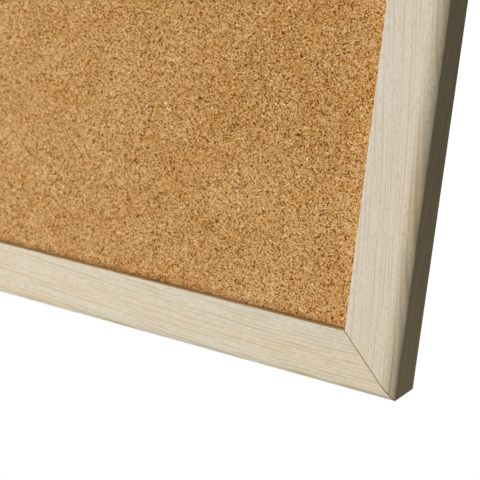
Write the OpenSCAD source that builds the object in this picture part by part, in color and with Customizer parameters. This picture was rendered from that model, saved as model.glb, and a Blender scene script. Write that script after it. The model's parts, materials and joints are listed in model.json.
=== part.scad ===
// Framed cork bulletin board for wall hanging, in millimetres.
// Origin: centre of the underside, half way through the frame's depth.
// X runs to the right, Y from the front to the wall, Z up.

/* [Board] */
// Overall width of the board
board_w = 600; // [450:50:900]
// Overall height of the board
board_h = 400; // [300:50:600]

/* [Frame moulding] */
// Width of the moulding, seen from the front
rail_w = 22; // [20:1:28]
// Depth of the moulding, front to back
rail_d = 20.25; // [19:0.25:24]
// Width of the crowned strip along the outer edge of the front face
crown_w = 6; // [4:0.1:8]
// How far the crowned strip falls back at the outer edge
crown_drop = 2.7; // [1:0.1:3]
// Thickness of the lip that laps over the edge of the panel
lip_t = 2.6; // [2.5:0.1:3.5]
// Width of the rebate that takes the panel from behind
rebate_w = 6; // [5:0.5:6]
// Glue line between two mitred ends
mitre_gap = 0.1; // [0.05:0.05:0.3]

/* [Panel] */
// Thickness of the cork face
cork_t = 3; // [1.5:0.5:3]
// Thickness of the soft fibreboard core that grips the pins
core_t = 9; // [6:0.5:9]
// Thickness of the hardboard back
backing_t = 2.5; // [2:0.5:2.5]
// Free play between the panel's edge and the rebate, on each side
panel_play = 1; // [0.5:0.5:1.5]

/* [Hangers] */
// Height of the hanger axis above the underside
hanger_z = 300; // [180:10:320]
// Width of the hanger strap
strap_w = 9; // [7:0.5:9]
// Thickness of one layer of the folded strap
strap_t = 0.8; // [0.6:0.1:0.8]
// Radius of the ring's wire
wire_r = 1.1; // [0.9:0.05:1.1]
// Radius of the ring's bow, to the middle of the wire
bow_r = 6.7; // [6.5:0.1:7.4]

/* [Bumpers] */
// Radius of a wall bumper
bumper_r = 5.5; // [4:0.5:6.5]
// Distance of a bumper from the side edge of the board
bumper_inset = 40; // [30:5:60]

/* [Hidden] */
$fn = 64;
left = -1;
right = 1;
top = 1;
bottom = 0;
over = 1;             // how far a cutting shape runs past the surface it cuts
nail_play = 0.03;     // room round a nail, point or screw in the wood
front_y = -rail_d / 2;
back_y = rail_d / 2;
back_w = rail_w - rebate_w;  // width of the moulding's back face

// Panel layers, counted from the front
cork_y = front_y + lip_t;
core_y = cork_y + cork_t;
backing_y = core_y + core_t;
point_y = backing_y + backing_t + 0.05;

// V nails
v_t = 0.5;
v_leg = 4;
v_h = 10;
v_sink = 0.2;         // how far a nail is driven below the back face
v_places = [4.5, 10]; // from the outer corner, along each rail

// Retaining points
point_t = 0.5;
point_w = 6;
point_grip = 5;       // driven into the wood
point_reach = 8;      // lying on the hardboard
points_on_rail = 4;
points_on_stile = 3;

// Hanger strap: folded double, with a rolled eye for the ring
eye_play = 0.08;
eye_r = wire_r + eye_play;
eye_out_r = eye_r + strap_t + 0.02;
screw_first = 6.4;    // from the eye to the first screw
screw_pitch = 13;
strap_l = screw_first + screw_pitch + strap_w / 2;
fold_start = 3.6;     // where the upper layer leaves the lower one to rise over the wire
hanger_x = board_w / 2 - back_w / 2;

// Hanger ring
corner_r = 2;
bar_half = bow_r - corner_r;
leg_l = 2.5;
ring_lean = 3.5;      // the raised ring leans this many degrees towards the frame

// Hanger screws
screw_r = 1.45;
screw_l = 12;
screw_tip_l = 3;
screw_head_r = 2.6;
screw_head_h = 1.6;
dome_h = 0.8;
recess_l = 2.6;
recess_w = 0.7;
recess_deep = 0.9;

// Bumpers stand as tall as the hanger's eye, so the board hangs parallel to the wall
bumper_h = 2 * eye_out_r;
bumper_round = 1.5;

// Section of the moulding: x is the depth behind the front face, y the distance from the outer edge
module moulding_section() {
    crown_r = (crown_w * crown_w + crown_drop * crown_drop) / (2 * crown_drop);
    translate([crown_drop, 0]) square([rail_d - crown_drop, back_w]);
    translate([0, crown_w]) square([rail_d, back_w - crown_w]);
    translate([0, crown_w]) square([lip_t, rail_w - crown_w]);
    intersection() {
        translate([crown_r, crown_w]) circle(r = crown_r, $fn = 128);
        square([crown_drop, crown_w]);
    }
}

// A length of moulding lying along X with its outer edge down, mitred at both ends
module mitred_length(length) {
    end = length / 2 - mitre_gap / sqrt(2);
    intersection() {
        translate([-length / 2, front_y, 0])
            rotate([90, 0, 90])
                linear_extrude(length) moulding_section();
        translate([0, back_y + over, 0])
            rotate([90, 0, 0])
                linear_extrude(rail_d + 2 * over)
                    polygon([
                        [-end - over, -over], [end + over, -over],
                        [end - rail_w - over, rail_w + over], [-end + rail_w + over, rail_w + over]
                    ]);
    }
}

// Moves a shape drawn on the bottom rail, centred on x = 0, to one of the four sides
module on_bottom() { children(); }
module on_top() { translate([0, 0, board_h]) rotate([0, 180, 0]) children(); }
module on_left() { translate([-board_w / 2, 0, board_h / 2]) rotate([0, 90, 0]) children(); }
module on_right() { translate([board_w / 2, 0, board_h / 2]) rotate([0, -90, 0]) children(); }

// Moves a shape drawn at the bottom left corner to the corner asked for
module at_corner(side, level) {
    if (side == left && level == bottom)
        translate([-board_w / 2, 0, 0]) children();
    if (side == right && level == bottom)
        translate([board_w / 2, 0, 0]) mirror([1, 0, 0]) children();
    if (side == left && level == top)
        translate([-board_w / 2, 0, board_h]) mirror([0, 0, 1]) children();
    if (side == right && level == top)
        translate([board_w / 2, 0, board_h]) mirror([1, 0, 0]) mirror([0, 0, 1]) children();
}

// The pair of V nails that pulls one mitre together; play widens them into their slots
module v_nail_pair(play) {
    foot = back_y - v_sink - v_h - play;
    for (place = v_places)
        translate([place, foot, place])
            rotate([-90, 0, 0]) mirror([0, 1, 0])
                linear_extrude(v_h + (play > 0 ? play + v_sink + over : 0)) {
                    translate([-v_t / 2 - play, -v_t / 2 - play])
                        square([v_leg + v_t / 2 + 2 * play, v_t + 2 * play]);
                    translate([-v_t / 2 - play, -v_t / 2 - play])
                        square([v_t + 2 * play, v_leg + v_t / 2 + 2 * play]);
                }
}

module v_nails(side, level) { color("silver") at_corner(side, level) v_nail_pair(0); }

module v_nail_slots() {
    for (side = [left, right], level = [bottom, top])
        at_corner(side, level) v_nail_pair(nail_play);
}

// A row of retaining points driven into the rebate of a side of the given length
module point_row(length, count, play) {
    pitch = length / count;
    for (i = [0 : count - 1])
        translate([(i + 0.5) * pitch - length / 2, point_y + point_t + play, back_w])
            rotate([90, 0, 0])
                linear_extrude(point_t + 2 * play)
                    polygon([
                        [-point_w / 2 - play, 0], [0, -point_grip - play], [point_w / 2 + play, 0],
                        [point_w / 2 + play, point_reach - 1.5], [point_w / 2 - 1.5, point_reach],
                        [1.5 - point_w / 2, point_reach], [-point_w / 2 - play, point_reach - 1.5]
                    ]);
}

module retaining_points(length, count) { color("silver") point_row(length, count, 0); }

module rail(length, count) {
    difference() {
        mitred_length(length);
        point_row(length, count, nail_play);
    }
}

// Moves a shape drawn round the hanger axis, on the plane of the back face, to its stile
module at_hanger(side) {
    translate([side * hanger_x, back_y, hanger_z]) children();
}

module screw_places() {
    for (i = [0, 1])
        translate([0, 0, -screw_first - i * screw_pitch]) rotate([-90, 0, 0]) children();
}

module pilot_holes(side) {
    at_hanger(side)
        screw_places()
            translate([0, 0, 2 * strap_t - screw_l - nail_play])
                cylinder(r = screw_r + nail_play, h = screw_l);
}

module stile(side) {
    color("antiquewhite")
        difference() {
            if (side == left) on_left() rail(board_h, points_on_stile);
            else on_right() rail(board_h, points_on_stile);
            v_nail_slots();
            pilot_holes(side);
        }
}

module top_rail() {
    color("antiquewhite")
        difference() {
            on_top() rail(board_w, points_on_rail);
            v_nail_slots();
        }
}

module bottom_rail() {
    color("antiquewhite")
        difference() {
            on_bottom() rail(board_w, points_on_rail);
            v_nail_slots();
        }
}

// One full layer of the panel, from y on, thick deep
module panel_layer(y, thick) {
    edge = back_w + panel_play;
    translate([edge - board_w / 2, y, edge])
        cube([board_w - 2 * edge, thick, board_h - 2 * edge]);
}

module cork_sheet() { color("peru") panel_layer(cork_y, cork_t); }
module core_board() { color("tan") panel_layer(core_y, core_t); }
module backing_board() { color("saddlebrown") panel_layer(backing_y, backing_t); }

// Side view of the strap: x is the height above the wood, y runs up the stile
module strap_section() {
    difference() {
        union() {
            translate([eye_out_r, 0]) circle(r = eye_out_r);
            translate([0, -strap_l]) square([strap_t, strap_l]);
            // Upper layer, which lies on the lower one and then rises over the wire
            polygon([
                [strap_t / 2, -strap_l], [2 * strap_t, -strap_l], [2 * strap_t, -fold_start],
                [eye_out_r * 1.6, -eye_out_r * 0.75], [eye_out_r * 1.1, -eye_out_r * 0.75],
                [strap_t, strap_t - fold_start], [strap_t / 2, strap_t - fold_start]
            ]);
        }
        translate([eye_out_r, 0]) circle(r = eye_r);
    }
}

module hanger_strap(side) {
    color("silver")
        at_hanger(side)
            difference() {
                intersection() {
                    translate([-strap_w / 2, 0, 0])
                        rotate([90, 0, 90])
                            linear_extrude(strap_w) strap_section();
                    rotate([-90, 0, 0])
                        translate([0, 0, -over])
                            linear_extrude(2 * eye_out_r + 2 * over) {
                                translate([0, strap_l - strap_w / 2]) circle(d = strap_w);
                                translate([-strap_w / 2, -2 * eye_out_r])
                                    square([strap_w, strap_l - strap_w / 2 + 2 * eye_out_r]);
                            }
                }
                screw_places()
                    translate([0, 0, -over])
                        cylinder(r = screw_r + 0.15, h = 2 * strap_t + 2 * over);
            }
}

// Bent wire ring: a straight bar through the eye, two bends, two short legs and a round bow
module hanger_ring(side) {
    color("silver")
        at_hanger(side)
            translate([0, eye_out_r, 0])
                rotate([ring_lean, 0, 0]) {
                    rotate([0, 90, 0]) cylinder(r = wire_r, h = 2 * bar_half, center = true);
                    for (end = [0, 1])
                        mirror([end, 0, 0]) {
                            translate([bar_half, 0, corner_r])
                                rotate([90, 0, 0])
                                    rotate_extrude(angle = -90)
                                        translate([corner_r, 0]) circle(r = wire_r);
                            translate([bow_r, 0, corner_r]) cylinder(r = wire_r, h = leg_l);
                        }
                    translate([0, 0, corner_r + leg_l])
                        rotate([90, 0, 0])
                            rotate_extrude(angle = 180)
                                translate([bow_r, 0]) circle(r = wire_r);
                }
}

module screw_head_section() {
    dome_r = (screw_head_r * screw_head_r + dome_h * dome_h) / (2 * dome_h);
    intersection() {
        square([screw_head_r, screw_head_h]);
        translate([0, screw_head_h - dome_r]) circle(r = dome_r, $fn = 128);
    }
}

// Pan head wood screw with its head's seat at z = 0 and its point down
module wood_screw() {
    difference() {
        rotate_extrude() screw_head_section();
        for (turn = [0, 90])
            rotate([0, 0, turn])
                translate([-recess_l / 2, -recess_w / 2, screw_head_h - recess_deep])
                    cube([recess_l, recess_w, recess_deep + over]);
    }
    shank_l = screw_l - 2 * strap_t - screw_tip_l;
    translate([0, 0, -2 * strap_t - shank_l]) cylinder(r = screw_r, h = 2 * strap_t + shank_l);
    translate([0, 0, -2 * strap_t - shank_l - screw_tip_l])
        cylinder(r1 = 0.2, r2 = screw_r, h = screw_tip_l);
}

module hanger_screws(side) {
    color("silver")
        at_hanger(side)
            screw_places()
                translate([0, 0, 2 * strap_t]) wood_screw();
}

// Soft pad that keeps the lower edge off the wall
module bumper(side) {
    color("dimgray")
        translate([side * (board_w / 2 - bumper_inset), back_y, back_w / 2])
            rotate([-90, 0, 0])
                rotate_extrude() {
                    square([bumper_r - bumper_round, bumper_h]);
                    square([bumper_r, bumper_h - bumper_round]);
                    intersection() {
                        translate([bumper_r - bumper_round, bumper_h - bumper_round])
                            circle(r = bumper_round);
                        square([bumper_r, bumper_h]);
                    }
                }
}

top_rail();
bottom_rail();
stile(left);  // left_stile
stile(right);  // right_stile
cork_sheet();
core_board();
backing_board();
v_nails(left, top);  // v_nails_top_left
v_nails(right, top);  // v_nails_top_right
v_nails(left, bottom);  // v_nails_bottom_left
v_nails(right, bottom);  // v_nails_bottom_right
on_top() retaining_points(board_w, points_on_rail);  // retaining_points_top
on_bottom() retaining_points(board_w, points_on_rail);  // retaining_points_bottom
on_left() retaining_points(board_h, points_on_stile);  // retaining_points_left
on_right() retaining_points(board_h, points_on_stile);  // retaining_points_right
hanger_strap(left);  // left_hanger_strap
hanger_strap(right);  // right_hanger_strap
hanger_ring(left);  // left_hanger_ring
hanger_ring(right);  // right_hanger_ring
hanger_screws(left);  // left_hanger_screws
hanger_screws(right);  // right_hanger_screws
bumper(left);  // left_bumper
bumper(right);  // right_bumper
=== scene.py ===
"""Looks of the framed cork bulletin board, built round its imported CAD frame.

The four frame members and the cork sheet get finer meshes than the CAD ones; every other CAD piece
keeps its mesh and gets a procedural material. Lengths are in metres, and X runs right, Y from the
front to the wall, Z up.
"""

import json
import math
from collections import namedtuple

import bmesh
import bpy
import numpy as np
from mathutils import Matrix, Vector


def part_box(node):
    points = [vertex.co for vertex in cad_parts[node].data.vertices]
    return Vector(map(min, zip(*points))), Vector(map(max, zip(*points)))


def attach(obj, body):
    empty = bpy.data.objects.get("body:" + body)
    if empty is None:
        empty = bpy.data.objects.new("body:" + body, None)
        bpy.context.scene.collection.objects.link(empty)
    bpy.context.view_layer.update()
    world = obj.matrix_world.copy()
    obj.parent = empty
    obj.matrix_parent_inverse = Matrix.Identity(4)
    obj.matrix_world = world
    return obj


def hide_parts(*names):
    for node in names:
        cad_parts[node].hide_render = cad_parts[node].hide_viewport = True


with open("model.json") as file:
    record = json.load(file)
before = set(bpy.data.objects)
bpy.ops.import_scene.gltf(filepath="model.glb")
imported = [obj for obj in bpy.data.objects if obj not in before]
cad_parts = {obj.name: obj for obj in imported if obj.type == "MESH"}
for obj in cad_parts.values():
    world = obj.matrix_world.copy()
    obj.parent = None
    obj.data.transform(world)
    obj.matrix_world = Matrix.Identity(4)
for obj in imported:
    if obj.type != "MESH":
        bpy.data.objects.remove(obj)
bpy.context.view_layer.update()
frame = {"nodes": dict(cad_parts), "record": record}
MM = 0.001
TO_MM = 1000.0

# ---------------------------------------------------------------- sizes read from the frame

RAIL_LOW, RAIL_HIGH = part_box("bottom_rail")
TOP_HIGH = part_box("top_rail")[1]
CORK_LOW, CORK_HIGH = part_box("cork_sheet")
BOARD_W = RAIL_HIGH.x - RAIL_LOW.x
BOARD_H = TOP_HIGH.z - RAIL_LOW.z
RAIL_W = RAIL_HIGH.z - RAIL_LOW.z
RAIL_D = RAIL_HIGH.y - RAIL_LOW.y
FRONT_Y = RAIL_LOW.y
LIP_T = CORK_LOW.y - FRONT_Y
PANEL_PLAY = 1.0 * MM  # room beside the panel in the rebate
BACK_W = CORK_LOW.x - RAIL_LOW.x - PANEL_PLAY

# ---------------------------------------------------------------- sizes of the finish

CROWN_W = 6.0 * MM  # width of the crowned strip on the front's outer edge
CROWN_DROP = 2.7 * MM  # how far it falls back
ARRIS_R = 0.4 * MM  # softened outer arris
LIP_EDGE_R = 0.35 * MM  # softened inner front edge
BACK_EDGE_R = 0.25 * MM  # softened outer back edge
REBATE_EDGE_R = 0.3 * MM  # softened inner back edge
MITRE_GAP = 0.06 * MM  # thickness of the glue line
MITRE_EASE = 0.06 * MM  # the sharp mitre edges are eased by this much
NAIL_PLAY = 0.05 * MM  # room round a V nail in its slot
BOARD_EDGE_R = 0.4 * MM  # worn edges of the core and backing boards
RELIEF = 0.012 * MM  # height of the raised grain
CRISP_ANGLE = 35  # degrees; edges sharper than this stay crisp

# ---------------------------------------------------------------- small helpers


def srgb(red, green, blue):
    """A colour given as 0 to 255 display values, as linear light with alpha."""
    linear = []
    for channel in (red, green, blue):
        value = channel / 255
        linear.append(value / 12.92 if value <= 0.04045 else ((value + 0.055) / 1.055) ** 2.4)
    return (*linear, 1.0)


def mesh_piece(name, vertices, faces, crisp_angle=CRISP_ANGLE):
    """A smooth-shaded mesh object, with edges sharper than crisp_angle kept crisp."""
    mesh = bpy.data.meshes.new(name)
    mesh.from_pydata([tuple(v) for v in vertices], [], faces)
    mesh.validate()
    mesh.shade_smooth()
    mesh.set_sharp_from_angle(angle=math.radians(crisp_angle))
    piece = bpy.data.objects.new(name, mesh)
    bpy.context.scene.collection.objects.link(piece)
    return piece


# ---------------------------------------------------------------- shader graphs


class Graph:
    """A short way to write a node material: most methods add a node and return its output socket."""

    def __init__(self, name):
        self.material = bpy.data.materials.new(name)
        self.material.use_nodes = True
        self.nodes = self.material.node_tree.nodes
        self.links = self.material.node_tree.links
        self.nodes.clear()

    def node(self, kind, **settings):
        made = self.nodes.new(kind)
        for key, value in settings.items():
            setattr(made, key, value)
        return made

    def feed(self, socket, value):
        """Links a socket to a socket, or writes a plain value into it."""
        if isinstance(value, bpy.types.NodeSocket):
            self.links.new(value, socket)
        else:
            socket.default_value = value

    def position(self):
        """Object coordinates in millimetres."""
        coordinates = self.node("ShaderNodeTexCoord")
        return self.scale(coordinates.outputs["Object"], (TO_MM, TO_MM, TO_MM))

    def scale(self, vector, factors):
        made = self.node("ShaderNodeVectorMath", operation="MULTIPLY")
        self.feed(made.inputs[0], vector)
        self.feed(made.inputs[1], factors)
        return made.outputs[0]

    def shift(self, vector, offset):
        made = self.node("ShaderNodeVectorMath", operation="ADD")
        self.feed(made.inputs[0], vector)
        self.feed(made.inputs[1], offset)
        return made.outputs[0]

    def split(self, vector):
        made = self.node("ShaderNodeSeparateXYZ")
        self.feed(made.inputs[0], vector)
        return made.outputs["X"], made.outputs["Y"], made.outputs["Z"]

    def join(self, x, y, z):
        made = self.node("ShaderNodeCombineXYZ")
        for socket, value in zip(made.inputs, (x, y, z)):
            self.feed(socket, value)
        return made.outputs[0]

    def math(self, operation, a, b=0.0, clamp=False):
        made = self.node("ShaderNodeMath", operation=operation, use_clamp=clamp)
        self.feed(made.inputs[0], a)
        self.feed(made.inputs[1], b)
        return made.outputs[0]

    def add(self, first, *others):
        total = first
        for other in others:
            total = self.math("ADD", total, other)
        return total

    def times(self, a, b):
        return self.math("MULTIPLY", a, b)

    def noise(self, vector, scale=1.0, detail=2.0, roughness=0.5, distortion=0.0, output="Fac"):
        """Noise round 0.5, nearly all of it from 0.3 to 0.7, which is why spans start about there."""
        made = self.node("ShaderNodeTexNoise", noise_dimensions="3D")
        self.feed(made.inputs["Vector"], vector)
        made.inputs["Scale"].default_value = scale
        made.inputs["Detail"].default_value = detail
        made.inputs["Roughness"].default_value = roughness
        made.inputs["Distortion"].default_value = distortion
        return made.outputs[output]

    def cells(self, vector, scale, feature="F1", output="Color"):
        """Irregular cells, with a random colour for each or the distance to its centre or edge."""
        made = self.node("ShaderNodeTexVoronoi", feature=feature)
        self.feed(made.inputs["Vector"], vector)
        made.inputs["Scale"].default_value = scale
        return made.outputs[output]

    def span(self, value, low, high, to_low=0.0, to_high=1.0, smooth=False):
        """value from low..high to to_low..to_high, held at the ends."""
        kind = "SMOOTHSTEP" if smooth else "LINEAR"
        made = self.node("ShaderNodeMapRange", interpolation_type=kind, clamp=True)
        for socket, number in zip(made.inputs, (value, low, high, to_low, to_high)):
            self.feed(socket, number)
        return made.outputs[0]

    def mix(self, share, first, second, blend="MIX"):
        made = self.node("ShaderNodeMix", data_type="RGBA", blend_type=blend)
        # The node keeps its colour sockets after those of its number and vector kinds
        self.feed(made.inputs[0], share)
        self.feed(made.inputs[6], first)
        self.feed(made.inputs[7], second)
        return made.outputs[2]

    def tint(self, colour, filter_colour):
        """A colour seen through a filter."""
        return self.mix(1.0, colour, filter_colour, blend="MULTIPLY")

    def ramp(self, value, stops):
        """The colour that a value from 0 to 1 reads off a row of (place, colour) stops."""
        made = self.node("ShaderNodeValToRGB")
        self.feed(made.inputs[0], value)
        elements = made.color_ramp.elements
        while len(elements) < len(stops):
            elements.new(0.5)
        for element, (place, colour) in zip(elements, stops):
            element.position = place
            element.color = colour
        return made.outputs[0]

    def bump(self, height, strength, distance):
        made = self.node("ShaderNodeBump")
        made.inputs["Strength"].default_value = strength
        made.inputs["Distance"].default_value = distance
        self.feed(made.inputs["Height"], height)
        return made.outputs[0]

    def attribute(self, name):
        made = self.node("ShaderNodeAttribute", attribute_name=name)
        return made.outputs["Fac"]

    def finish(self, colour, roughness, normal, metallic=0.0, specular=0.5):
        """Ends the graph in a principled surface and returns the material."""
        shader = self.node("ShaderNodeBsdfPrincipled")
        self.feed(shader.inputs["Base Color"], colour)
        self.feed(shader.inputs["Roughness"], roughness)
        self.feed(shader.inputs["Metallic"], metallic)
        self.feed(shader.inputs["Specular IOR Level"], specular)
        self.feed(shader.inputs["Normal"], normal)
        output = self.node("ShaderNodeOutputMaterial")
        self.links.new(shader.outputs[0], output.inputs["Surface"])
        return self.material


# ---------------------------------------------------------------- whitewashed pine

PALE = srgb(231, 216, 194)
COOL = srgb(225, 219, 206)
TAN = srgb(205, 186, 155)
LIP_FACE_AND_BOUNCE = srgb(246, 222, 176)  # the lip's inner face, painted lighter and warmer for the cork's bounce light
BARE = srgb(222, 190, 146)
BARE_LATE = srgb(190, 144, 94)
RUBBED_LATE = srgb(178, 156, 120)
GLUE = srgb(156, 130, 94)

# Lengths below are in millimetres, as the shader graphs see them
RING_PITCH = 1.35  # between growth rings on the face
RING_SLANT = 0.6  # how far the rings lean over, for each millimetre of depth
RING_WANDER = 4.0
UNEVEN_LENGTH, UNEVEN_WIDTH = 90.0, 7.0  # patches of wider and narrower rings
UNEVEN_RINGS = 2.5
BAND_LENGTH, BAND_WIDTH = 160.0, 4.0  # slow change between the pale and the cool wash
SMEAR_WIDTH = 0.6
FIBRE_LENGTH, FIBRE_WIDTH = 2.5, 0.45
WORN_AND_LIT_FROM, WORN_AND_LIT_TO = 1.5, 7.5  # the wash thins out, and the crown's painted light comes in, between these distances from the outer edge
WASH_FROM, WASH_TO = 6.0, 2.0  # and lies thick between these distances from the inner edge
FACE_FROM, FACE_TO = 0.4, 0.2  # a face's own colour starts this far inside its plane
GLUE_FROM, GLUE_TO = 0.09 * MM, 0.22 * MM  # the mitre attribute is in metres
WOOD_STRIDE = (311.0, 17.0, 29.0)  # from one member's piece of wood to the next

# How strongly each thing shows at its strongest, from 0 to 1
THICK_WASH = 0.6
RUBBED_LINES = 0.7
BARE_LINES = 0.55
SMEARS = 0.3
FIBRES = 0.75
MOTTLE = 0.6

# A cut of wood: how far its ring lines run and how far they bow over the length, in millimetres, how
# dark they are, its cast, and the tint of its crown and outer side, partly wear and partly painted light
Cut = namedtuple("Cut", "streak bow lines cast rubbed")
FLAT_CUT = Cut(20.0, 6.0, 0.9, (1.0, 0.995, 0.965, 1.0), (1.14, 1.16, 1.14, 1.0))
EDGE_CUT = Cut(40.0, 6.4, 0.75, (1.0, 1.0, 1.02, 1.0), (1.08, 1.03, 0.93, 1.0))


def ring_distance(g, place, moved, length, cut):
    """Distance across the growth rings: they slant with depth, bow over the length, and wander."""
    from_middle, _, _ = g.split(place)
    _, deep, across = g.split(moved)
    turns = g.times(from_middle, math.tau / (length * TO_MM))
    bow = g.times(g.math("COSINE", turns), -cut.bow)
    wander = g.noise(g.scale(moved, (0.008, 0.03, 0.03)), detail=1.0)
    ripple = g.noise(g.scale(moved, (1.0 / cut.streak, 0.15, 0.15)), detail=1.0)
    slant = g.add(across, g.times(deep, RING_SLANT))
    return g.add(slant, g.times(wander, RING_WANDER), g.add(bow, ripple))


def past(g, distance, plane):
    """0 before a plane, given in metres, and 1 from just short of it."""
    return g.span(distance, plane * TO_MM - FACE_FROM, plane * TO_MM - FACE_TO)


def pine(name, length, seed, cut):
    """Whitewashed pine. Local X runs along the grain, Z in from the outer edge."""
    g = Graph(name)
    place = g.position()
    moved = g.shift(place, tuple(seed * stride for stride in WOOD_STRIDE))
    along, _, _ = g.split(moved)
    _, behind, from_edge = g.split(place)
    ring_x = ring_distance(g, place, moved, length, cut)

    def streaks(length, width, layer, detail=1.0):
        """Noise drawn out along the grain: streaks this long and wide. Each layer is its own slice."""
        space = g.join(g.math("DIVIDE", along, length), g.math("DIVIDE", ring_x, width), layer)
        return g.noise(space, detail=detail, roughness=0.5)

    # Pale early wood darkens to a late line, then starts again; the lines come and go
    uneven = g.times(streaks(UNEVEN_LENGTH, UNEVEN_WIDTH, 5.0), UNEVEN_RINGS)
    turn = g.math("FRACT", g.add(g.math("DIVIDE", ring_x, RING_PITCH), uneven))
    late = g.times(g.span(turn, 0.2, 0.65, smooth=True), g.span(turn, 0.75, 1.0, 1.0, 0.0))
    late = g.times(late, g.span(streaks(cut.streak, RING_PITCH, 11.0), 0.35, 0.65))
    bands = streaks(BAND_LENGTH, BAND_WIDTH, 0.0)
    smears = streaks(0.5 * cut.streak, SMEAR_WIDTH, 23.0)
    fibres = streaks(FIBRE_LENGTH, FIBRE_WIDTH, 37.0, detail=2.0)
    mottle = g.noise(g.scale(moved, (0.9, 1.5, 1.5)), detail=3.0, roughness=0.75)

    # The wash lies thick along the inner edge and is rubbed thin over the crown, whose tint is partly wear
    # and partly painted light
    inner_edge = RAIL_W * TO_MM
    worn_and_lit = g.span(from_edge, WORN_AND_LIT_FROM, WORN_AND_LIT_TO, 1.0, 0.0, smooth=True)
    thick = g.span(from_edge, inner_edge - WASH_FROM, inner_edge - WASH_TO, 0.0, THICK_WASH, smooth=True)
    colour = g.mix(g.span(bands, 0.35, 0.65), PALE, COOL)
    colour = g.mix(thick, colour, COOL)
    colour = g.mix(g.times(late, g.span(worn_and_lit, 0.0, 1.0, cut.lines, 0.0)), colour, TAN)
    colour = g.mix(g.times(late, g.span(worn_and_lit, 0.0, 1.0, 0.0, RUBBED_LINES)), colour, RUBBED_LATE)
    colour = g.mix(g.span(smears, 0.5, 0.75, 0.0, SMEARS), colour, TAN)
    colour = g.mix(g.span(fibres, 0.52, 0.7, 0.0, FIBRES), colour, TAN)
    colour = g.mix(g.span(mottle, 0.45, 0.75, 0.0, MOTTLE), colour, TAN)
    colour = g.tint(colour, cut.cast)
    # Painted light: the crown and outer side take a tint, lighter and cooler on the rails, warmer on the
    # stiles
    colour = g.mix(worn_and_lit, colour, g.tint(colour, cut.rubbed))

    # The lip's inner face is plain and painted lighter and warmer for the light the cork throws on it, and
    # in the rebate and on the back the wood is bare
    lip_face_bounce = g.times(past(g, from_edge, RAIL_W), g.span(behind, 0.2, 0.8))
    in_rebate = g.times(past(g, from_edge, BACK_W), past(g, behind, LIP_T))
    bare = g.math("MAXIMUM", in_rebate, past(g, behind, RAIL_D))
    # Painted light: the lip's inner face is made lighter and warmer, standing in for bounce light from the
    # cork
    colour = g.mix(lip_face_bounce, colour, LIP_FACE_AND_BOUNCE)
    colour = g.mix(bare, colour, g.mix(g.times(late, BARE_LINES), BARE, BARE_LATE))
    near_mitre = g.span(g.attribute("mitre"), GLUE_FROM, GLUE_TO, 1.0, 0.0)
    colour = g.mix(near_mitre, colour, GLUE)

    height = g.add(g.times(late, 0.5), g.times(fibres, 0.4))
    roughness = g.span(fibres, 0.3, 0.7, 0.52, 0.68)
    return g.finish(colour, roughness, g.bump(height, 0.3, 0.05 * MM), specular=0.3)


# ---------------------------------------------------------------- cork

FINE_PER_MM = 4.2  # granules of the fine and the coarse grade, and bark specks, in a millimetre
COARSE_PER_MM = 1.1
SPECKS_PER_MM = 2.1
GRANULE_WARP = (0.14, 0.14, 0.14)  # how far the granules are pressed out of shape, in millimetres
DRIFT_OFFSET = (13563.0, 0.0, 7029.0)  # picks the part of the noise that the slow drift uses
CORK_TONES = (
    (0.00, srgb(122, 60, 0)),  # bark
    (0.25, srgb(170, 108, 10)),
    (0.50, srgb(219, 166, 81)),
    (0.75, srgb(254, 214, 156)),
    (1.00, srgb(255, 252, 214)),
)
FLUSH = srgb(224, 146, 82)  # reddish patches
# Painted shade: the tint the sheet takes along the lip, where the frame's shadow falls
LIP_SHADE_TINT = (0.4, 0.34, 0.28, 1.0)
RAIL_SHADE_REACH = 2.8  # how far the painted shade reaches from the rails and from the stiles, in millimetres
STILE_SHADE_REACH = 2.0

# What each pattern adds to a granule's tone, which runs from 0 to 1
FINE_TONE = 0.66
COARSE_TONE = 0.1
CRUMB_TONE = (-0.25, 0.5)
SWELL_TONE = (-0.02, 0.05)
DRIFT_TONE = (-0.04, 0.04)
PALE_TONE = 0.3
BARK_TONE = 1.3  # taken off, as is the next
# Painted shade in the crevices between granules
CREVICE_SHADE_TONE = 0.12


def cork_tone(g, place, crumb, crevice):
    """One tone for each granule, with painted shade in the crevices; a few granules are dark bark, a few
    pale.
    """
    fine_seed, _, _ = g.split(g.cells(place, FINE_PER_MM))
    coarse_seed, _, _ = g.split(g.cells(place, COARSE_PER_MM))
    speck_seed, _, _ = g.split(g.cells(place, SPECKS_PER_MM))
    swell = g.noise(place, scale=0.05, detail=2.0)
    drift = g.noise(g.shift(place, DRIFT_OFFSET), scale=0.007, detail=1.0)
    tone = g.add(
        g.times(fine_seed, FINE_TONE),
        g.times(coarse_seed, COARSE_TONE),
        g.span(crumb, 0.3, 0.7, *CRUMB_TONE),
        g.span(swell, 0.3, 0.7, *SWELL_TONE),
        g.span(drift, 0.25, 0.75, *DRIFT_TONE),
        g.span(speck_seed, 0.05, 0.07, PALE_TONE, 0.0),
    )
    bark = g.times(g.span(speck_seed, 0.83, 0.85, 0.0, BARK_TONE), g.span(crumb, 0.38, 0.48))
    # Painted shade: darker where the granules meet
    crevice_shade = g.span(crevice, 0.0, 0.10, CREVICE_SHADE_TONE, 0.0)
    return g.math("SUBTRACT", tone, g.add(bark, crevice_shade), clamp=True)


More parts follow.
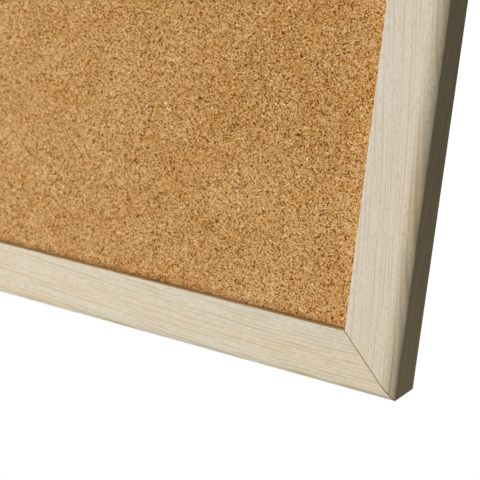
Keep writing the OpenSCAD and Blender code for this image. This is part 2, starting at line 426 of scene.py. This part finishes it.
def lip_shade_paint(g):
    """How much painted shade darkens the sheet along the lip, standing in for the shadow the frame casts
    there.
    """
    x, _, z = g.split(g.position())
    half_w = (BOARD_W / 2 - RAIL_W) * TO_MM
    bottom = (RAIL_LOW.z + RAIL_W) * TO_MM
    top = (RAIL_LOW.z + BOARD_H - RAIL_W) * TO_MM
    to_stile = g.math("SUBTRACT", half_w, g.math("ABSOLUTE", x))
    to_rail = g.math("MINIMUM", g.math("SUBTRACT", z, bottom), g.math("SUBTRACT", top, z))
    by_rail = g.span(to_rail, 0.0, RAIL_SHADE_REACH, 0.68, 0.0)
    by_stile = g.span(to_stile, 0.0, STILE_SHADE_REACH, 0.3, 0.0)
    return g.math("MAXIMUM", by_rail, by_stile)


def cork():
    """Fine agglomerated cork: pressed granules of many tones with dark bark specks and crevices."""
    g = Graph("cork_agglomerate")
    place = g.position()
    warp = g.noise(place, scale=2.0, detail=1.0, output="Color")
    place = g.shift(place, g.scale(warp, GRANULE_WARP))
    crumb = g.noise(place, scale=7.0, detail=2.0, roughness=0.7)
    crevice = g.cells(place, FINE_PER_MM, feature="DISTANCE_TO_EDGE", output="Distance")
    tone = cork_tone(g, place, crumb, crevice)
    colour = g.ramp(tone, CORK_TONES)
    warmth = g.noise(place, scale=0.08, detail=4.0, roughness=0.75)
    flush = g.times(g.span(warmth, 0.3, 0.7, 0.0, 0.3), g.span(tone, 0.1, 0.5))
    colour = g.mix(flush, colour, FLUSH)
    # Painted shade: the sheet darkens along the lip, standing in for the frame's shadow
    colour = g.mix(lip_shade_paint(g), colour, g.tint(colour, LIP_SHADE_TINT))
    height = g.add(tone, g.span(crevice, 0.0, 0.15, 0.0, 0.8))
    roughness = g.span(crumb, 0.3, 0.7, 0.78, 0.95)
    return g.finish(colour, roughness, g.bump(height, 0.5, 0.12 * MM), specular=0.15)


# ---------------------------------------------------------------- boards, metal and rubber

FELT_DARK, FELT_LIGHT, FELT_CLUMP = srgb(150, 124, 88), srgb(204, 182, 142), srgb(128, 100, 66)
BOARD_DARK, BOARD_LIGHT = srgb(98, 66, 42), srgb(146, 106, 70)
BOARD_FLECK, BOARD_CLOUD = srgb(62, 40, 26), srgb(158, 120, 82)
ZINC, ZINC_DULL = srgb(206, 208, 212), srgb(168, 172, 178)
STEEL, STEEL_DULL = srgb(188, 188, 190), srgb(140, 141, 144)
RUBBER, RUBBER_BLOOM = srgb(34, 34, 35), srgb(64, 63, 62)


def fibreboard():
    """Soft insulating board: felted pale fibres."""
    g = Graph("soft_fibreboard")
    place = g.position()
    felt = g.noise(g.scale(place, (0.5, 1.6, 0.5)), detail=5.0, roughness=0.75, distortion=1.2)
    clumps = g.noise(place, scale=0.12, detail=3.0)
    colour = g.mix(g.span(felt, 0.35, 0.65), FELT_DARK, FELT_LIGHT)
    colour = g.mix(g.span(clumps, 0.4, 0.65, 0.0, 0.3), colour, FELT_CLUMP)
    return g.finish(colour, 0.95, g.bump(felt, 0.6, 0.3 * MM), specular=0.1)


def hardboard():
    """Brown hardboard with its pressed face out: dark fibre flecks under a faint polish."""
    g = Graph("brown_hardboard")
    place = g.position()
    fibres = g.noise(place, scale=0.9, detail=6.0, roughness=0.75, distortion=0.5)
    flecks = g.cells(g.scale(place, (0.6, 1.0, 0.25)), 1.0, output="Distance")
    clouds = g.noise(place, scale=0.018, detail=3.0)
    colour = g.mix(g.span(fibres, 0.35, 0.65), BOARD_DARK, BOARD_LIGHT)
    colour = g.mix(g.span(flecks, 0.0, 0.16, 0.5, 0.0), colour, BOARD_FLECK)
    colour = g.mix(g.span(clouds, 0.35, 0.65, 0.0, 0.15), colour, BOARD_CLOUD)
    roughness = g.span(fibres, 0.3, 0.7, 0.42, 0.62)
    return g.finish(colour, roughness, g.bump(fibres, 0.35, 0.08 * MM), specular=0.35)


def steel(name, bright, dull, grain, rough_low, rough_high):
    """Metal sheet or wire with faint lines, spaced as grain says for each axis, and uneven polish."""
    g = Graph(name)
    place = g.position()
    lines = g.noise(g.scale(place, grain), detail=4.0, roughness=0.7)
    patches = g.noise(place, scale=0.35, detail=3.0)
    colour = g.mix(g.span(patches, 0.35, 0.65), bright, dull)
    colour = g.mix(g.span(lines, 0.5, 0.75, 0.0, 0.35), colour, dull)
    shine = g.add(g.times(lines, 0.5), g.times(patches, 0.5))
    roughness = g.span(shine, 0.35, 0.65, rough_low, rough_high)
    return g.finish(colour, roughness, g.bump(lines, 0.2, 0.03 * MM), metallic=1.0)


def rubber():
    """Soft black rubber with a dusty bloom."""
    g = Graph("bumper_rubber")
    place = g.position()
    grain = g.noise(place, scale=4.0, detail=4.0, roughness=0.7)
    bloom = g.noise(place, scale=0.5, detail=3.0)
    colour = g.mix(g.span(bloom, 0.35, 0.7), RUBBER, RUBBER_BLOOM)
    roughness = g.span(bloom, 0.3, 0.7, 0.6, 0.82)
    return g.finish(colour, roughness, g.bump(grain, 0.3, 0.05 * MM), specular=0.35)


# ---------------------------------------------------------------- frame members

CROWN_STEPS = 22
EASED_STEPS = 5
FACE_STEP = 0.5 * MM  # spacing of the outline's points on the faces that show
BACK_STEP = 2.0 * MM  # and on those that don't
MEMBER_STEPS = 120  # lengths a member is divided into
STEPS_PER_SWELL = 12  # and how many of them one swell of the grain takes
RIDGE_SHARE = 0.6  # share of the raised grain that is ridges; the rest is the swell
# Sections near a mitre: their distance from it and how far they shrink, in shares of MITRE_EASE
MITRE_SECTIONS = ((0.0, 1.0), (0.35, 0.45), (0.8, 0.1), (1.5, 0.0), (4.0, 0.0))
WELD = 0.001 * MM  # points nearer than this are one point
NAIL_RUN_OUT = 1.0 * MM  # how far a nail's cutter stands out of the back


def arc(centre, radius, start, end, steps):
    """Points on an arc from start to end degrees."""
    angles = np.radians(np.linspace(start, end, steps + 1))
    return [(centre[0] + radius * math.cos(a), centre[1] + radius * math.sin(a)) for a in angles]


def line(start, end, step):
    """Evenly spaced points from start towards end, without end."""
    count = max(1, round(math.dist(start, end) / step))
    return [tuple(np.array(start) + (np.array(end) - start) * i / count) for i in range(count)]


def eased(before, corner, after, radius):
    """The corner of an outline, turned into an arc of the given radius."""
    corner = np.array(corner)
    to_before = (np.array(before) - corner) / math.dist(before, corner)
    to_after = (np.array(after) - corner) / math.dist(after, corner)
    half = math.acos(np.clip(to_before @ to_after, -1, 1)) / 2
    reach = radius / math.tan(half)
    bisector = to_before + to_after
    centre = corner + bisector / np.linalg.norm(bisector) * radius / math.sin(half)
    first = corner + to_before * reach - centre
    last = corner + to_after * reach - centre
    points = []
    for i in range(EASED_STEPS + 1):
        share = i / EASED_STEPS
        spoke = first * (1 - share) + last * share
        points.append(tuple(centre + spoke / np.linalg.norm(spoke) * radius))
    return points


def moulding_outline():
    """The section of the moulding as a closed outline of (from the outer edge, behind the front)."""
    crown_r = (CROWN_W**2 + CROWN_DROP**2) / (2 * CROWN_DROP)
    crown_angle = math.degrees(math.asin(CROWN_W / crown_r))
    crown = arc((CROWN_W, crown_r), crown_r, 270 - crown_angle, 270, CROWN_STEPS)
    outer_back = (0, RAIL_D)
    crown_foot = (0, CROWN_DROP)
    crown_top = (CROWN_W, 0)
    lip_front = (RAIL_W, 0)
    lip_back = (RAIL_W, LIP_T)
    rebate = (BACK_W, LIP_T)
    inner_back = (BACK_W, RAIL_D)
    back_arc = eased(inner_back, outer_back, crown_foot, BACK_EDGE_R)
    arris_arc = eased(outer_back, crown_foot, crown[1], ARRIS_R)
    lip_arc = eased(crown_top, lip_front, lip_back, LIP_EDGE_R)
    rebate_arc = eased(rebate, inner_back, outer_back, REBATE_EDGE_R)
    outline = back_arc[:-1] + line(back_arc[-1], arris_arc[0], FACE_STEP)
    outline += arris_arc + crown[1:-1]
    outline += line(crown[-1], lip_arc[0], FACE_STEP)
    outline += lip_arc[:-1] + line(lip_arc[-1], lip_back, FACE_STEP)
    outline += line(lip_back, rebate, BACK_STEP)
    outline += line(rebate, rebate_arc[0], BACK_STEP)
    outline += rebate_arc[:-1] + line(rebate_arc[-1], back_arc[0], BACK_STEP)
    return np.array(outline)


def outward(outline):
    """The outward unit normal at each point of the outline."""
    ahead = np.roll(outline, -1, axis=0) - outline
    behind = outline - np.roll(outline, 1, axis=0)
    ahead /= np.linalg.norm(ahead, axis=1)[:, None]
    behind /= np.linalg.norm(behind, axis=1)[:, None]
    tangent = ahead + behind
    tangent /= np.linalg.norm(tangent, axis=1)[:, None]
    return np.stack([tangent[:, 1], -tangent[:, 0]], axis=1)


def raised_grain(count, sections, rng):
    """Height of the grain at each section and outline point: long low ridges, never above the CAD face."""
    ridges = rng.random(count)
    ridges = (ridges + np.roll(ridges, 1) + np.roll(ridges, -1)) / 3
    ridges = (ridges - ridges.min()) / (ridges.max() - ridges.min())
    swell = rng.random((sections // STEPS_PER_SWELL + 2, count))
    # The last section stops just short of the last row, so that each has a row after it
    places = np.linspace(0, len(swell) - 1.001, sections)
    low = np.floor(places).astype(int)
    share = (places - low)[:, None]
    drift = swell[low] * (1 - share) + swell[low + 1] * share
    return -RELIEF * (RIDGE_SHARE * ridges[None, :] + (1 - RIDGE_SHARE) * drift)


def moulding_member(name, length, seed, cut, place):
    """A mitred length of the moulding along local X, its outer edge on local Z = 0."""
    outline = moulding_outline()
    normals = outward(outline)
    count = len(outline)
    # The sections crowd together at the mitres, where the sharp edges are eased
    near_mitre = [(away * MITRE_EASE, ease) for away, ease in MITRE_SECTIONS]
    sections = [(-1.0, inset, ease) for inset, ease in near_mitre]
    sections += [(-1.0 + 2.0 * i / MEMBER_STEPS, 0.0, 0.0) for i in range(1, MEMBER_STEPS)]
    sections += [(1.0, -inset, ease) for inset, ease in reversed(near_mitre)]
    relief = raised_grain(count, len(sections), np.random.default_rng(seed))
    vertices = []
    for (share, inset, ease), heights in zip(sections, relief):
        ring = outline + normals * (heights - MITRE_EASE * ease)[:, None]
        half = length / 2 - ring[:, 0] - MITRE_GAP / math.sqrt(2)
        along = share * half + inset
        for x, (z, y) in zip(along, ring):
            vertices.append((x, y, z))
    faces = []
    for first in range(0, (len(sections) - 1) * count, count):
        for i in range(count):
            j = (i + 1) % count
            faces.append((first + i, first + count + i, first + count + j, first + j))
    last = (len(sections) - 1) * count
    faces.append(tuple(range(count)))
    faces.append(tuple(last + i for i in reversed(range(count))))
    piece = mesh_piece(name, vertices, faces)
    bm = bmesh.new()
    bm.from_mesh(piece.data)
    bmesh.ops.recalc_face_normals(bm, faces=bm.faces)
    bm.to_mesh(piece.data)
    bm.free()
    piece.data.materials.append(pine(f"washed_pine_{name}", length, seed, cut))
    piece.matrix_world = place
    return piece


def nail_cutter(node):
    """A mitre's V nails made a little fatter and run out through the back, to cut their slots with."""
    nails = frame["nodes"][node]
    bm = bmesh.new()
    bm.from_mesh(nails.data)
    bm.transform(nails.matrix_world)
    bmesh.ops.remove_doubles(bm, verts=bm.verts, dist=WELD)
    bm.normal_update()
    outer = max(v.co.y for v in bm.verts)
    for v in bm.verts:
        driven_end = v.co.y > outer - NAIL_PLAY
        v.co += v.normal * NAIL_PLAY
        if driven_end:
            v.co.y = outer + NAIL_RUN_OUT
    bm.verts.index_update()
    points = [tuple(v.co) for v in bm.verts]
    faces = [[v.index for v in face.verts] for face in bm.faces]
    bm.free()
    mesh = bpy.data.meshes.new(f"{node}_cutter")
    mesh.from_pydata(points, [], faces)
    cutter = bpy.data.objects.new(mesh.name, mesh)
    bpy.context.scene.collection.objects.link(cutter)
    return cutter


def cut_slots(piece, cutters, length):
    """Cuts the V nail slots, then stores each point's distance from the mitre for the glue line."""
    for cutter in cutters:
        slot = piece.modifiers.new("slot", "BOOLEAN")
        slot.operation = "DIFFERENCE"
        slot.solver = "EXACT"
        slot.object = cutter
    whole = piece.data
    bpy.context.view_layer.update()
    depsgraph = bpy.context.evaluated_depsgraph_get()
    piece.data = bpy.data.meshes.new_from_object(piece.evaluated_get(depsgraph))
    piece.modifiers.clear()
    bpy.data.meshes.remove(whole)
    piece.data.set_sharp_from_angle(angle=math.radians(CRISP_ANGLE))
    places = np.empty(3 * len(piece.data.vertices), np.float32)
    piece.data.vertices.foreach_get("co", places)
    x, _, z = places.reshape(-1, 3).T
    mitre = (length / 2 - z - np.abs(x)) / math.sqrt(2) - MITRE_GAP / 2
    piece.data.attributes.new("mitre", "FLOAT", "POINT").data.foreach_set("value", mitre)


def build_frame():
    """The four members, each at its CAD node's place, with its own length, wood and cut."""
    turn = Matrix.Rotation
    front = Matrix.Translation((0, FRONT_Y, 0))
    middle = BOARD_H / 2
    members = {
        "bottom_rail": (BOARD_W, 3, FLAT_CUT, Matrix.Identity(4)),
        "top_rail": (BOARD_W, 5, FLAT_CUT,
                     Matrix.Translation((0, 0, BOARD_H)) @ turn(math.pi, 4, "Y")),
        "left_stile": (BOARD_H, 8, EDGE_CUT,
                       Matrix.Translation((-BOARD_W / 2, 0, middle)) @ turn(math.pi / 2, 4, "Y")),
        "right_stile": (BOARD_H, 2, EDGE_CUT,
                        Matrix.Translation((BOARD_W / 2, 0, middle)) @ turn(-math.pi / 2, 4, "Y")),
    }
    cutters = {node: nail_cutter(node) for node in frame["nodes"] if node.startswith("v_nails")}
    for node, (length, seed, cut, place) in members.items():
        piece = moulding_member(f"{node}_moulding", length, seed, cut, front @ place)
        side = node.split("_")[0]
        cut_slots(piece, [cutter for name, cutter in cutters.items() if side in name], length)
        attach(piece, "board")
        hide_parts(node)
    for cutter in cutters.values():
        bpy.data.meshes.remove(cutter.data)


# ---------------------------------------------------------------- cork sheet

CORK_SEED = 11
CORK_COLUMNS = 386  # of the face's grid, whose points are about 1.5 mm apart
CORK_ROWS = 250
CORK_DENTS = 0.12 * MM  # depth of the hollows between pressed granules
GRAIN_DENT, SOFT_DENT, HOLE_DENT = 0.35, 0.45, 0.4  # shares of it that each pattern may take
CORK_WHOLE = 0.985  # share of the grid points without an open hole
CORK_JITTER = 0.5  # how far a grid point strays, in shares of the spacing
CORK_CRISP_ANGLE = 60


def cork_relief(rng):
    """Depth of the cork's face at each grid point: granules, hollows between them, and open holes."""
    shape = (CORK_ROWS + 1, CORK_COLUMNS + 1)
    grains = rng.random(shape)
    softer = (grains + np.roll(grains, 1, 0) + np.roll(grains, 1, 1) + np.roll(grains, (1, 1), (0, 1))) / 4
    holes = rng.random(shape) > CORK_WHOLE
    return CORK_DENTS * (GRAIN_DENT * grains + SOFT_DENT * softer + HOLE_DENT * holes)


def build_cork():
    """The cork sheet: a granular front face on a closed slab, inside the CAD sheet's box."""
    low, high = CORK_LOW, CORK_HIGH
    rng = np.random.default_rng(CORK_SEED)
    depth = cork_relief(rng)
    xs = np.linspace(low.x, high.x, CORK_COLUMNS + 1)
    zs = np.linspace(low.z, high.z, CORK_ROWS + 1)
    jitter_x = (rng.random(depth.shape) - 0.5) * CORK_JITTER * (xs[1] - xs[0])
    jitter_z = (rng.random(depth.shape) - 0.5) * CORK_JITTER * (zs[1] - zs[0])
    for jitter in (jitter_x, jitter_z):
        jitter[[0, -1], :] = 0
        jitter[:, [0, -1]] = 0
    grid_x, grid_z = np.meshgrid(xs, zs)
    front = np.stack([grid_x + jitter_x, low.y + depth, grid_z + jitter_z], axis=-1)
    vertices = list(map(tuple, front.reshape(-1, 3)))
    width = CORK_COLUMNS + 1
    faces = []
    for row in range(CORK_ROWS):
        for column in range(CORK_COLUMNS):
            a = row * width + column
            faces.append((a, a + 1, a + 1 + width, a + width))
    rim = list(range(CORK_COLUMNS))
    rim += [row * width + CORK_COLUMNS for row in range(CORK_ROWS)]
    rim += [CORK_ROWS * width + column for column in range(CORK_COLUMNS, 0, -1)]
    rim += [row * width for row in range(CORK_ROWS, 0, -1)]
    first_back = len(vertices)
    for index in rim:
        x, _, z = vertices[index]
        vertices.append((x, high.y, z))
    centre = len(vertices)
    vertices.append(((low.x + high.x) / 2, high.y, (low.z + high.z) / 2))
    for i in range(len(rim)):
        j = (i + 1) % len(rim)
        faces.append((rim[j], rim[i], first_back + i, first_back + j))
        faces.append((first_back + j, first_back + i, centre))
    piece = mesh_piece("cork_face", vertices, faces, crisp_angle=CORK_CRISP_ANGLE)
    piece.data.materials.append(cork())
    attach(piece, "board")
    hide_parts("cork_sheet")


# ---------------------------------------------------------------- carried-over CAD pieces


def dress_cad_nodes():
    """Gives every CAD node that is still shown its material."""
    zinc = steel("zinc_plate", ZINC, ZINC_DULL, grain=(0.6, 0.6, 6.0), rough_low=0.38, rough_high=0.58)
    bright = steel("bright_steel", STEEL, STEEL_DULL, grain=(3.0, 3.0, 0.5), rough_low=0.28, rough_high=0.5)
    looks = {
        "pine_moulding": None,  # the wood and the cork have pieces of their own
        "cork": None,
        "fibreboard": fibreboard(),
        "hardboard": hardboard(),
        "bright_steel": bright,
        "zinc_plate": zinc,
        "bumper_rubber": rubber(),
    }
    for subpart in frame["record"]["subparts"]:
        look = looks[subpart["material_slot"]]
        if look is None:
            continue
        node = frame["nodes"][subpart["node"]]
        node.data.materials.clear()
        node.data.materials.append(look)
    for name in ("core_board", "backing_board"):
        edges = frame["nodes"][name].modifiers.new("worn_edges", "BEVEL")
        edges.width = BOARD_EDGE_R
        edges.segments = 3


# ---------------------------------------------------------------- studio

CORNER = Vector((BOARD_W / 2, FRONT_Y, RAIL_LOW.z))
CAMERA_AZIMUTH = 27.75  # degrees, as the elevation and the roll
CAMERA_ELEVATION = 13.28
CAMERA_ROLL = 6.06
CAMERA_LENS = 94.56  # focal length in millimetres on a sensor 36 wide
CAMERA_FROM_CORNER = Vector((6.65, -18.57, 7.07)) * RAIL_W
FOCAL_STOP = 20.0
FLOOR_REACH = 12.0


def build_camera():
    """The camera, close on the lower right corner and rolled a little, focused on the corner."""
    azimuth = math.radians(CAMERA_AZIMUTH)
    elevation = math.radians(CAMERA_ELEVATION)
    back = Vector((math.sin(azimuth) * math.cos(elevation),
                   -math.cos(azimuth) * math.cos(elevation), math.sin(elevation)))
    level = Vector((math.cos(azimuth), math.sin(azimuth), 0))
    turned = Matrix.Rotation(math.radians(CAMERA_ROLL), 3, back)
    right = turned @ level
    up = back.cross(right)
    data = bpy.data.cameras.new("camera")
    data.sensor_width = 36
    data.lens = CAMERA_LENS
    data.clip_start = 0.01
    data.clip_end = 50
    camera = bpy.data.objects.new("camera", data)
    bpy.context.scene.collection.objects.link(camera)
    camera.matrix_world = Matrix.Translation(CORNER + CAMERA_FROM_CORNER) @ Matrix(
        (right, up, back)).transposed().to_4x4()
    focus = bpy.data.objects.new("focus", None)
    focus.location = CORNER
    bpy.context.scene.collection.objects.link(focus)
    data.dof.use_dof = True
    data.dof.focus_object = focus
    data.dof.aperture_fstop = FOCAL_STOP
    bpy.context.scene.camera = camera


def build_floor():
    """A wide floor, lit to even white, that neither shades nor lights the board."""
    g = Graph("studio_floor")
    glow = g.node("ShaderNodeEmission")
    output = g.node("ShaderNodeOutputMaterial")
    g.feed(output.inputs["Surface"], glow.outputs[0])
    r = FLOOR_REACH
    mesh = bpy.data.meshes.new("studio_floor")
    mesh.from_pydata([(-r, -r, 0), (r, -r, 0), (r, r, 0), (-r, r, 0)], [], [(0, 1, 2, 3)])
    floor = bpy.data.objects.new("studio_floor", mesh)
    floor.location.z = RAIL_LOW.z
    bpy.context.scene.collection.objects.link(floor)
    mesh.materials.append(g.material)
    for ray in ("diffuse", "glossy", "shadow"):
        setattr(floor, f"visible_{ray}", False)


KEY_TO_LEFT = 34.5  # degrees round from the front, and below the level
KEY_BELOW = 4.0
KEY_AWAY = 3.4  # from the corner
KEY_SIZE = 0.5
KEY_POWER = 107.0
KEY_COLOUR = (1.0, 0.985, 0.96)
CARD_BESIDE = Vector((0.08, 0.6 * RAIL_D, -0.01))  # from the corner, as is its aim on the edge above
CARD_AIM = Vector((0, 0.6 * RAIL_D, 0.03))
CARD_SIZE = 0.05
CARD_POWER = 0.003
CARD_COLOUR = (1.0, 0.95, 0.8)
BACK_FROM_MIDDLE = Vector((-0.5, 2.4, 0.9))
BACK_SIZE = 1.6
BACK_POWER = 60
BACK_COLOUR = (1.0, 0.99, 0.97)
SURROUND_COLOUR = (1.0, 0.98, 0.82, 1)
SURROUND_HEIGHTS = (-0.2, 1.0)  # the surround's strength rises from the first height to the second
SURROUND_STRENGTHS = (0.04, 0.30)


def area_light(name, place, aim, size, power, colour):
    """A round light that the camera doesn't see."""
    data = bpy.data.lights.new(name, "AREA")
    data.shape = "DISK"
    data.size = size
    data.energy = power
    data.color = colour
    light = bpy.data.objects.new(name, data)
    light.location = place
    light.rotation_mode = "QUATERNION"
    light.rotation_quaternion = (Vector(aim) - Vector(place)).to_track_quat("-Z", "Y")
    light.visible_camera = False
    bpy.context.scene.collection.objects.link(light)


def build_lights():
    """A soft key from the front left, a small card low on the right, and a broad light behind."""
    side, below = math.radians(KEY_TO_LEFT), math.radians(KEY_BELOW)
    to_key = Vector((-math.sin(side) * math.cos(below), -math.cos(side) * math.cos(below),
                     -math.sin(below)))
    area_light("key", CORNER + to_key * KEY_AWAY, CORNER, KEY_SIZE, KEY_POWER, KEY_COLOUR)
    area_light("card", CORNER + CARD_BESIDE, CORNER + CARD_AIM, CARD_SIZE, CARD_POWER, CARD_COLOUR)
    middle = Vector((0, 0, BOARD_H / 2))
    area_light("back", middle + BACK_FROM_MIDDLE, middle, BACK_SIZE, BACK_POWER, BACK_COLOUR)


def build_surround():
    """A dim surround that is brighter overhead, and that the camera sees as white."""
    world = bpy.data.worlds.new("surround")
    world.use_nodes = True
    bpy.context.scene.world = world
    nodes = world.node_tree.nodes
    links = world.node_tree.links
    nodes.clear()
    path = nodes.new("ShaderNodeLightPath")
    dim = nodes.new("ShaderNodeBackground")
    dim.inputs["Color"].default_value = SURROUND_COLOUR
    sky = nodes.new("ShaderNodeTexCoord")
    height = nodes.new("ShaderNodeSeparateXYZ")
    links.new(sky.outputs["Generated"], height.inputs[0])
    brightness = nodes.new("ShaderNodeMapRange")
    links.new(height.outputs["Z"], brightness.inputs[0])
    for socket, number in zip(brightness.inputs[1:5], SURROUND_HEIGHTS + SURROUND_STRENGTHS):
        socket.default_value = number
    links.new(brightness.outputs[0], dim.inputs["Strength"])
    white = nodes.new("ShaderNodeBackground")
    white.inputs["Color"].default_value = (1, 1, 1, 1)
    blend = nodes.new("ShaderNodeMixShader")
    output = nodes.new("ShaderNodeOutputWorld")
    links.new(path.outputs["Is Camera Ray"], blend.inputs[0])
    links.new(dim.outputs[0], blend.inputs[1])
    links.new(white.outputs[0], blend.inputs[2])
    links.new(blend.outputs[0], output.inputs["Surface"])
    view = bpy.context.scene.view_settings
    view.view_transform = "Standard"
    view.look = "None"


build_frame()
build_cork()
dress_cad_nodes()
build_camera()
build_floor()
build_lights()
build_surround()
